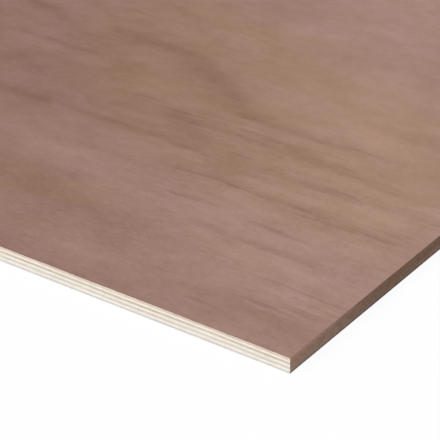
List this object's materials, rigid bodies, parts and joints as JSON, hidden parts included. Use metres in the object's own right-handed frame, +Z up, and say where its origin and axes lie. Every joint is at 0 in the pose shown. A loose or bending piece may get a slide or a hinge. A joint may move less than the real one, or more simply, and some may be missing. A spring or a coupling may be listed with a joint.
{
  "type": "plywood sheet",
  "caption": "Full-size flat sheet of plywood with reddish-brown hardwood face and back veneers over pale crossed plies, sawn square with lightly eased arrises.",
  "frame": {"origin": "middle of the sheet's underside, where it lies on the floor", "axes": "+X along the long edges, the way the face grain runs; +Y across the sheet, from the front long edge to the back one; +Z up through the thickness, out of the face"},
  "size_m": [2.44, 1.22, 0.018],
  "materials": {
    "hardwood_veneer": "raw reddish-brown hardwood veneer, fine sanded, matt",
    "long_grain_ply": "raw pale softer wood, sawn along the grain, matt",
    "cross_grain_ply": "raw pale softer wood, sawn across the grain, matt"
  },
  "bodies": {
    "root": {"back_veneer": "hardwood_veneer", "lower_crossband": "cross_grain_ply", "lower_long_ply": "long_grain_ply", "centre_crossband": "cross_grain_ply", "upper_long_ply": "long_grain_ply", "upper_crossband": "cross_grain_ply", "face_veneer": "hardwood_veneer"}
  },
  "joints": []
}
